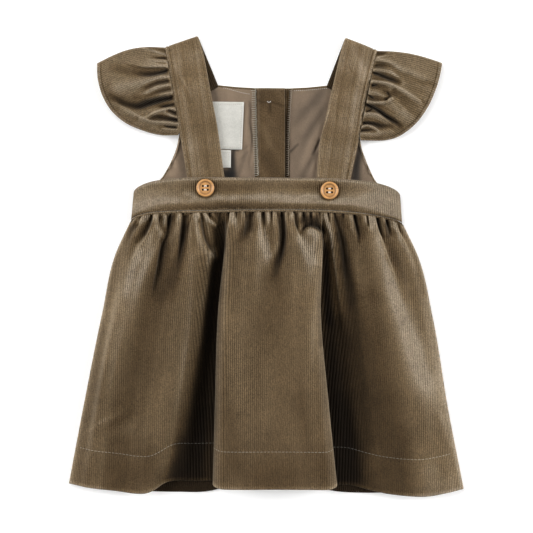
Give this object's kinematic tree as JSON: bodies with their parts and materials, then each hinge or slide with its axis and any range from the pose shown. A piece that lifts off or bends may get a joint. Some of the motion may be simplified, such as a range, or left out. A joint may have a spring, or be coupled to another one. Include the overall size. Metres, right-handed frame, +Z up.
{
  "type": "pinafore dress",
  "caption": "Baby's brown corduroy pinafore dress laid flat: gathered skirt, crowned waistband with wooden buttons, folded shoulder straps and flutter sleeves.",
  "frame": {"origin": "on the floor, under the middle of the dress's bounding box", "axes": "+Y from the hem to the neck, +X to the right of the dress as seen from above, +Z up through the front of the dress"},
  "size_m": [0.3362, 0.3908, 0.0266],
  "materials": {
    "corduroy": "fine cotton corduroy, velvety pile",
    "lining": "plain woven cotton, soft satin",
    "label": "woven tape, matt",
    "wood": "turned and waxed"
  },
  "bodies": {
    "root": {"skirt_front": "corduroy", "skirt_back": "corduroy", "waistband_front": "corduroy", "bodice_back_left": "corduroy", "bodice_back_right": "corduroy", "facing_left": "corduroy", "facing_right": "corduroy", "lining_left": "lining", "lining_right": "lining", "strap_left": "corduroy", "strap_right": "corduroy", "flutter_left": "corduroy", "flutter_right": "corduroy", "label_main": "label", "label_size": "label", "button_left": "wood", "button_right": "wood"}
  },
  "joints": []
}
